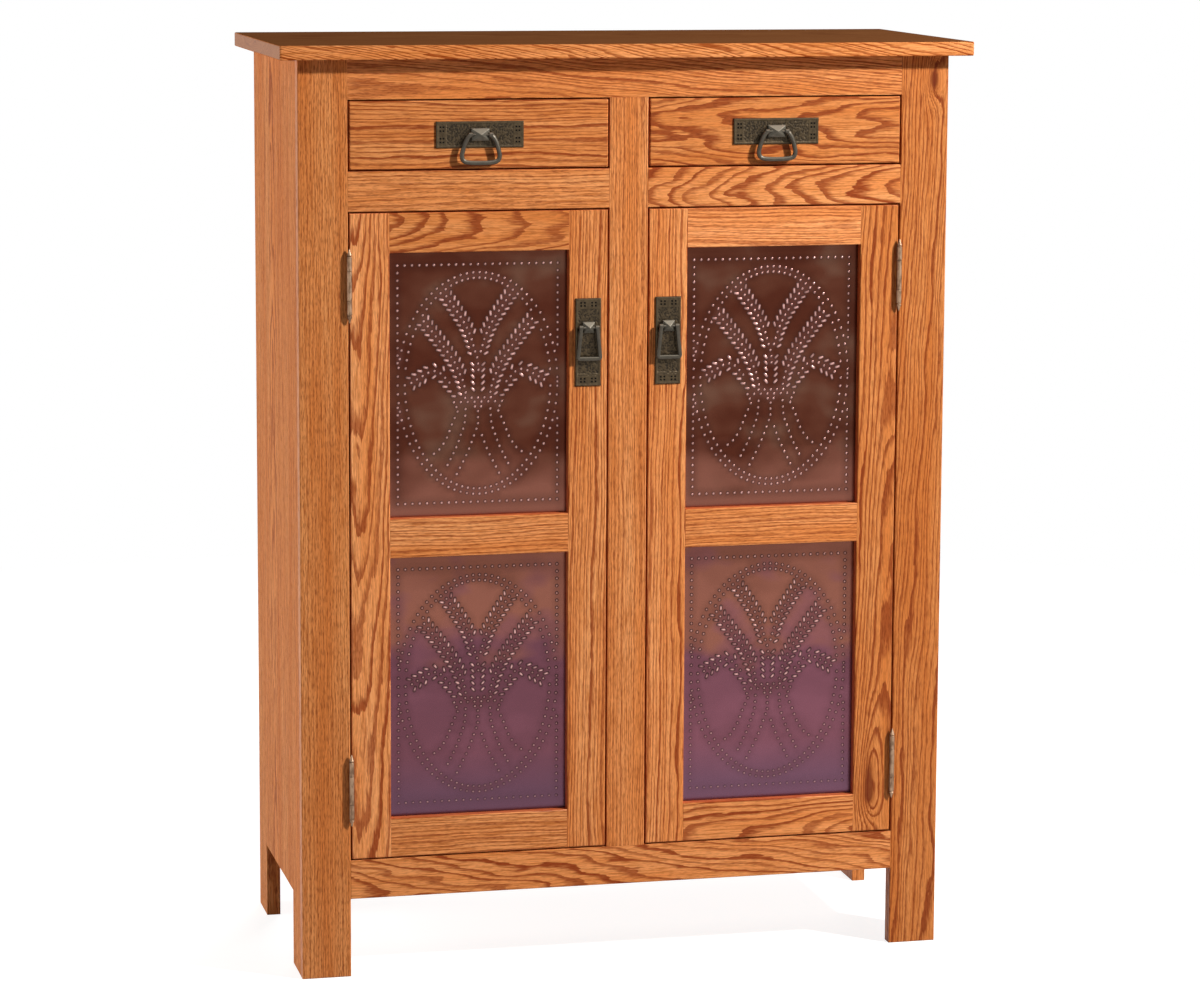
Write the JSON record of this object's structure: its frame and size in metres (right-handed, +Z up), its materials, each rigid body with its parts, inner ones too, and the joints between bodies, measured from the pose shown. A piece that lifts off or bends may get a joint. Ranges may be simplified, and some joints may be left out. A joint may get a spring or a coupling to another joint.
{
  "type": "pie safe",
  "caption": "Oak food cupboard with a flat top, inset drawers over inset frame doors with punched metal panels, on legs cut from its sides.",
  "frame": {"origin": "on the floor under the middle of the top board", "axes": "+Z up, the doors and drawers face -Y, +X to the right seen from the front"},
  "size_m": [0.943, 0.422, 1.251],
  "materials": {
    "golden_oak": "satin lacquer over golden brown stained red oak",
    "plain_oak": "clear finished oak inside the case and on the drawer boxes",
    "punched_copper": "dark antique copper sheet with raised punch marks",
    "dark_bronze": "hammered dark bronze",
    "antique_nickel": "antique nickel plate"
  },
  "bodies": {
    "case": {"top_board": "golden_oak", "left_side": "golden_oak", "right_side": "golden_oak", "left_post": "golden_oak", "right_post": "golden_oak", "top_rail": "golden_oak", "bottom_rail": "golden_oak", "centre_stile": "golden_oak", "left_drawer_rail": "golden_oak", "right_drawer_rail": "golden_oak", "floor_board": "plain_oak", "lower_shelf": "plain_oak", "upper_shelf": "plain_oak", "drawer_deck": "plain_oak", "back_panel": "plain_oak", "drawer_divider": "plain_oak", "left_drawer_guide": "plain_oak", "right_drawer_guide": "plain_oak", "door_stop_rail": "plain_oak", "left_lower_hinge_frame_leaf": "antique_nickel", "left_upper_hinge_frame_leaf": "antique_nickel", "right_lower_hinge_frame_leaf": "antique_nickel", "right_upper_hinge_frame_leaf": "antique_nickel"},
    "left_door": {"left_door_hinge_stile": "golden_oak", "left_door_lock_stile": "golden_oak", "left_door_bottom_rail": "golden_oak", "left_door_middle_rail": "golden_oak", "left_door_top_rail": "golden_oak", "left_door_lower_tin": "punched_copper", "left_door_upper_tin": "punched_copper", "left_lower_hinge_door_leaf": "antique_nickel", "left_upper_hinge_door_leaf": "antique_nickel", "left_door_pull_plate": "dark_bronze"},
    "left_drawer": {"left_drawer_front": "golden_oak", "left_drawer_outer_side": "plain_oak", "left_drawer_inner_side": "plain_oak", "left_drawer_back": "plain_oak", "left_drawer_bottom": "plain_oak", "left_drawer_pull_plate": "dark_bronze"},
    "left_door_bail": {"left_door_bail": "dark_bronze"},
    "left_drawer_bail": {"left_drawer_bail": "dark_bronze"},
    "right_door": {"right_door_hinge_stile": "golden_oak", "right_door_lock_stile": "golden_oak", "right_door_bottom_rail": "golden_oak", "right_door_middle_rail": "golden_oak", "right_door_top_rail": "golden_oak", "right_door_lower_tin": "punched_copper", "right_door_upper_tin": "punched_copper", "right_lower_hinge_door_leaf": "antique_nickel", "right_upper_hinge_door_leaf": "antique_nickel", "right_door_pull_plate": "dark_bronze"},
    "right_drawer": {"right_drawer_front": "golden_oak", "right_drawer_outer_side": "plain_oak", "right_drawer_inner_side": "plain_oak", "right_drawer_back": "plain_oak", "right_drawer_bottom": "plain_oak", "right_drawer_pull_plate": "dark_bronze"},
    "right_door_bail": {"right_door_bail": "dark_bronze"},
    "right_drawer_bail": {"right_drawer_bail": "dark_bronze"}
  },
  "joints": [
    {"name": "left_door_hinge", "type": "hinge", "parent": "case", "child": "left_door", "pos_m": [-0.3775, -0.188, 0.596], "axis": [0, 0, -1], "range_deg": [0, 170]},
    {"name": "left_drawer_slide", "type": "slide", "parent": "case", "child": "left_drawer", "axis": [0, -1, 0], "range_m": [0, 0.28]},
    {"name": "left_door_bail_pivot", "type": "hinge", "parent": "left_door", "child": "left_door_bail", "pos_m": [-0.055, -0.1915, 0.873], "axis": [-1, 0, 0], "range_deg": [-2, 178]},
    {"name": "left_drawer_bail_pivot", "type": "hinge", "parent": "left_drawer", "child": "left_drawer_bail", "pos_m": [-0.2025, -0.1915, 1.132], "axis": [-1, 0, 0], "range_deg": [-2, 178]},
    {"name": "right_door_hinge", "type": "hinge", "parent": "case", "child": "right_door", "pos_m": [0.3775, -0.188, 0.596], "axis": [0, 0, 1], "range_deg": [0, 170]},
    {"name": "right_drawer_slide", "type": "slide", "parent": "case", "child": "right_drawer", "axis": [0, -1, 0], "range_m": [0, 0.28]},
    {"name": "right_door_bail_pivot", "type": "hinge", "parent": "right_door", "child": "right_door_bail", "pos_m": [0.055, -0.1915, 0.873], "axis": [-1, 0, 0], "range_deg": [-2, 178]},
    {"name": "right_drawer_bail_pivot", "type": "hinge", "parent": "right_drawer", "child": "right_drawer_bail", "pos_m": [0.2025, -0.1915, 1.132], "axis": [-1, 0, 0], "range_deg": [-2, 178]}
  ]
}
